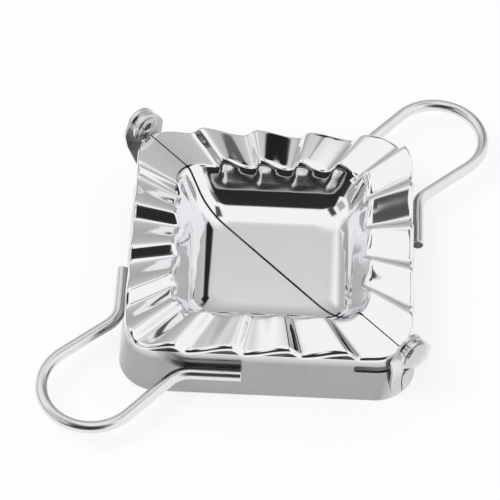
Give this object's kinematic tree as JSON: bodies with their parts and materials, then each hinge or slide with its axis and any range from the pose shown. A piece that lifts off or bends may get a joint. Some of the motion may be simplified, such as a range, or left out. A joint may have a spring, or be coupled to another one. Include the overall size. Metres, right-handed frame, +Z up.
{
  "type": "dumpling wrapper cutter",
  "caption": "Square folding dumpling cutter and mould: two hinged fluted tray halves in a cutting skirt, each with a wire loop handle.",
  "frame": {"origin": "centre of the square cutter's bottom edge, on the surface that it lies on", "axes": "+Z up out of the open mould, +Y along the cutter's diagonal towards the far handle, +X along the hinge line"},
  "size_m": [0.1214, 0.1722, 0.0261],
  "materials": {
    "mould_sheet": "mirror-polished stainless steel sheet",
    "skirt_sheet": "satin-polished stainless steel sheet",
    "wire": "polished stainless steel wire",
    "rivet": "polished stainless steel"
  },
  "bodies": {
    "half_a": {"mould_plate_a": "mould_sheet", "skirt_a": "skirt_sheet", "handle_a": "wire"},
    "half_b": {"mould_plate_b": "mould_sheet", "skirt_b": "skirt_sheet", "handle_b": "wire", "hinge_rivet_a": "rivet", "hinge_rivet_b": "rivet", "spacer_washer_a": "rivet", "spacer_washer_b": "rivet"}
  },
  "joints": [
    {"name": "mould_fold", "type": "hinge", "parent": "half_a", "child": "half_b", "pos_m": [0, 0, 0.0212], "axis": [-1, 0, 0], "range_deg": [0, 180]}
  ]
}
